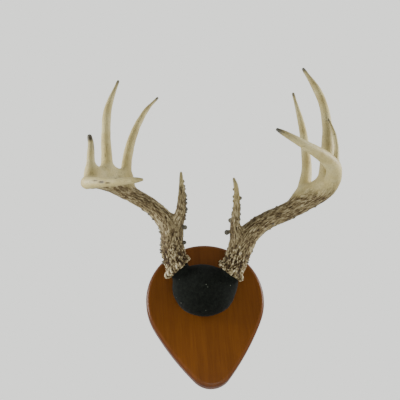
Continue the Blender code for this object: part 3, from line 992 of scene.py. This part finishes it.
def bone_look():
    """Cream bone, brown between its ridges near the burr, greyish rubbed tips, old dark marks and painted
    shade.
    """
    look = Look("antler_bone")
    light, stain, tip, mark_and_shade = [look.value(name) for name in ("lightness", "stain", "tip", "mark_and_shade")]
    patches = look.noise(scale=30.0, detail=5.0)
    clean = look.ramp(patches, BONE_CLEAN)
    grown = look.add("ShaderNodeAttribute", attribute_name="fibre").outputs["Vector"]
    fibres = look.noise(scale=0.75, detail=4.0, roughness=0.7, vector=grown)
    worn = look.math("ADD", light, look.math("MULTIPLY", look.math("SUBTRACT", fibres, 0.5), FIBRE_CONTRAST))
    stained = look.ramp(worn, BONE_STAINED)
    cloud = look.math("MULTIPLY", look.math("SUBTRACT", patches, 0.5), CLOUD_CONTRAST)
    streak = look.math("MULTIPLY", look.math("SUBTRACT", STREAK_MIDDLE, light), STREAK_CONTRAST)
    amount = look.math("ADD", look.math("ADD", stain, cloud), look.math("MULTIPLY", streak, stain))
    colour = look.mix(look.ramp(amount, STAIN_EDGES), clean, stained)
    specks = look.ramp(look.noise(scale=420.0, detail=3.0), BONE_SPECKS)
    colour = look.mix(1.0, colour, specks, "MULTIPLY")
    wear = look.ramp(look.noise(scale=85.0, detail=4.0), BONE_WEAR)
    rubbed = look.math("POWER", look.math("MULTIPLY", tip, wear), RUBBED_POWER)
    colour = look.mix(rubbed, colour, BONE_RUBBED)
    # Old dark marks, and on the right fourth tine painted shade
    colour = look.mix(look.math("MINIMUM", mark_and_shade, MARK_AND_SHADE_MOST), colour, BONE_MARK_AND_SHADE)
    colour = look.mix(1.0, colour, look.ramp(fibres, BONE_FIBRES), "MULTIPLY")
    look.link(colour, look.shader.inputs["Base Color"])
    grit = look.math("MULTIPLY_ADD", look.noise(scale=300.0, detail=3.0), *BONE_ROUGHNESS)
    matte = look.math("MULTIPLY", look.ramp(light, GULLY_ROUGHNESS), stain)
    look.link(look.math("ADD", grit, matte), look.shader.inputs["Roughness"])
    look.shader.inputs["Specular IOR Level"].default_value = 0.30
    look.bump(fibres, distance=0.0004, strength=0.5)
    return look.material


def wood_look():
    """Brown stained wood under satin varnish, its grain running up the board. Painted shade darkens it
    towards the top, under the antlers and cover, and on the rounded edge."""
    look = Look("stained_wood")
    along_grain = look.stretched((95.0, 95.0, 6.0))
    grain = look.noise(scale=1.0, detail=6.0, roughness=0.6, vector=along_grain, distortion=0.4)
    along_pores = look.stretched((520.0, 520.0, 22.0))
    pores = look.noise(scale=1.0, detail=3.0, roughness=0.6, vector=along_pores)
    patches = look.noise(scale=9.0, detail=2.0)
    colour = look.mix(WOOD_PORES_SHARE, look.ramp(grain, WOOD_GRAIN), look.ramp(pores, WOOD_PORES))
    colour = look.mix(1.0, colour, look.ramp(patches, WOOD_PATCHES), "MULTIPLY")
    split = look.add("ShaderNodeSeparateXYZ")
    look.link(look.place, split.inputs["Vector"])
    # Painted shade: the board darkens towards its top, as if shaded by the antlers and cover
    rise = look.math("MULTIPLY_ADD", split.outputs["Z"], 1 / BOARD_HEIGHT, BOARD_SHARE_BELOW)
    colour = look.mix(1.0, colour, look.ramp(rise, WOOD_PAINTED_SHADE_UPWARD), "MULTIPLY")
    # Painted shade: the rounded edge darkens towards the back, where less light reaches it
    back = look.math("MULTIPLY_ADD", split.outputs["Y"], 1 / FRONT_ROUNDING, BOARD_THICKNESS / FRONT_ROUNDING)
    colour = look.mix(1.0, colour, look.ramp(back, WOOD_EDGE_PAINTED_SHADE), "MULTIPLY")
    look.link(colour, look.shader.inputs["Base Color"])
    look.link(look.math("MULTIPLY_ADD", pores, *WOOD_ROUGHNESS), look.shader.inputs["Roughness"])
    look.shader.inputs["Specular IOR Level"].default_value = 0.22
    look.shader.inputs["Coat Weight"].default_value = 0.06
    look.shader.inputs["Coat Roughness"].default_value = 0.20
    look.bump(pores, distance=0.0001, strength=0.35)
    return look.material


def felt_look():
    """Flat green-black felt with a fine nap and a few specks of lint."""
    look = Look("dark_felt")
    nap = look.noise(scale=700.0, detail=4.0, roughness=0.7)
    mottle = look.ramp(look.noise(scale=190.0, detail=4.0, roughness=0.6), FELT_MOTTLE)
    base = look.mix(1.0, look.ramp(nap, FELT_NAP), mottle, "MULTIPLY")
    specks = look.add("ShaderNodeTexVoronoi")
    specks.inputs["Scale"].default_value = 130.0
    look.link(look.place, specks.inputs["Vector"])
    lint = look.ramp(specks.outputs["Distance"], LINT_SPECKS)
    patches = look.ramp(look.noise(scale=60.0, detail=1.0), LINT_PATCHES)
    share = look.math("MULTIPLY", lint, patches)
    look.link(look.mix(share, base, LINT), look.shader.inputs["Base Color"])
    look.link(look.math("MULTIPLY_ADD", nap, *FELT_ROUGHNESS), look.shader.inputs["Roughness"])
    look.shader.inputs["Specular IOR Level"].default_value = 0.12
    look.shader.inputs["Sheen Weight"].default_value = 0.04
    look.bump(nap, distance=0.0003, strength=0.6)
    return look.material


def plain_look(name, colour, roughness):
    material = bpy.data.materials.new(name)
    material.use_nodes = True
    shader = material.node_tree.nodes["Principled BSDF"]
    shader.inputs["Base Color"].default_value = (*colour, 1.0)
    shader.inputs["Roughness"].default_value = roughness
    return material


def make_air():
    """Pale air, which lights from above and behind, and looks the same all over to the camera."""
    world = bpy.data.worlds.new("pale_air")
    bpy.context.scene.world = world
    world.use_nodes = True
    tree = world.node_tree
    path = tree.nodes.new("ShaderNodeLightPath")
    direction = tree.nodes.new("ShaderNodeTexCoord")
    upward = tree.nodes.new("ShaderNodeVectorMath")
    upward.operation = "DOT_PRODUCT"
    upward.inputs[1].default_value = BRIGHT_SIDE
    tree.links.new(direction.outputs["Generated"], upward.inputs[0])
    bright = tree.nodes.new("ShaderNodeMapRange")
    bright.inputs["From Min"].default_value = BRIGHT_SPAN[0]
    bright.inputs["From Max"].default_value = BRIGHT_SPAN[1]
    tree.links.new(upward.outputs["Value"], bright.inputs["Value"])
    lighting = tree.nodes.new("ShaderNodeMix")
    lighting.data_type = "RGBA"
    lighting.inputs[6].default_value = (*AIR_DIM, 1.0)
    lighting.inputs[7].default_value = (*AIR_BRIGHT, 1.0)
    tree.links.new(bright.outputs["Result"], lighting.inputs[0])
    seen = tree.nodes.new("ShaderNodeMix")
    seen.data_type = "RGBA"
    seen.inputs[7].default_value = (*AIR_SEEN, 1.0)
    tree.links.new(path.outputs["Is Camera Ray"], seen.inputs[0])
    tree.links.new(lighting.outputs[2], seen.inputs[6])
    tree.links.new(seen.outputs[2], tree.nodes["Background"].inputs["Color"])


def make_stage():
    """A plain pale floor well below the mount, pale air and soft lamps that the camera doesn't see."""
    bm = bmesh.new()
    signs = [(-1, -1), (1, -1), (1, 1), (-1, 1)]
    bm.faces.new([bm.verts.new((x * FLOOR_REACH, y * FLOOR_REACH, -FLOOR_DOWN)) for x, y in signs])
    floor = object_from("floor", bm, plain_look("pale_floor", FLOOR_COLOUR, FLOOR_ROUGHNESS))
    floor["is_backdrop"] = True
    make_air()
    for name, place, aim, size, power in LAMPS:
        lamp = bpy.data.lights.new(name, "AREA")
        lamp.size = size
        lamp.energy = power
        light = bpy.data.objects.new(name, lamp)
        light.location = place
        light.visible_camera = False
        light.rotation_euler = (Vector(aim) - Vector(place)).to_track_quat("-Z", "Y").to_euler()
        bpy.context.collection.objects.link(light)


def make_camera():
    lens = bpy.data.cameras.new("camera")
    lens.lens = CAMERA_LENS
    lens.sensor_width = CAMERA_SENSOR
    camera = bpy.data.objects.new("camera", lens)
    bpy.context.collection.objects.link(camera)
    level_share = math.cos(CAMERA_PITCH)
    across, inward = level_share * math.sin(CAMERA_YAW), level_share * math.cos(CAMERA_YAW)
    ahead = Vector((across, inward, math.sin(CAMERA_PITCH)))
    level = Vector((math.cos(CAMERA_YAW), -math.sin(CAMERA_YAW), 0.0))
    upright = level.cross(ahead)
    right = level * math.cos(CAMERA_ROLL) + upright * math.sin(CAMERA_ROLL)
    up = upright * math.cos(CAMERA_ROLL) - level * math.sin(CAMERA_ROLL)
    turn = Matrix((right, up, -ahead)).transposed().to_4x4()
    camera.matrix_world = Matrix.Translation(CAMERA_PLACE) @ turn
    bpy.context.scene.camera = camera


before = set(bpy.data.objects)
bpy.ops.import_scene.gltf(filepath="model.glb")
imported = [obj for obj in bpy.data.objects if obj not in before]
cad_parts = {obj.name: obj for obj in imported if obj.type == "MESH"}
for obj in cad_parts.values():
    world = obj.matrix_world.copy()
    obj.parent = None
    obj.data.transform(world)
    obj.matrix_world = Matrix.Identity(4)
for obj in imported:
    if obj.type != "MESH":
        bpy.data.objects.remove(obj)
cad_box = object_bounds()
make_camera()
make_stage()
noise = Noise(NOISE_SEED)
bone = bone_look()
pieces = {
    "plaque": make_board(wood_look()),
    "skull_cover": make_cover(felt_look(), noise),
    "left_antler": make_antler("left_antler_bone", LEFT, bone, LEFT_TEETH, LEFT_MARKS, noise),
    "right_antler": make_antler("right_antler_bone", RIGHT, bone, RIGHT_TEETH, RIGHT_MARKS_AND_SHADE, noise),
}
for node, piece in pieces.items():
    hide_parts(node)
    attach(piece, BODY)

corners = {"cad": cad_box, "visual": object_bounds()}
{name: [list(corner) for corner in box] for name, box in corners.items()}
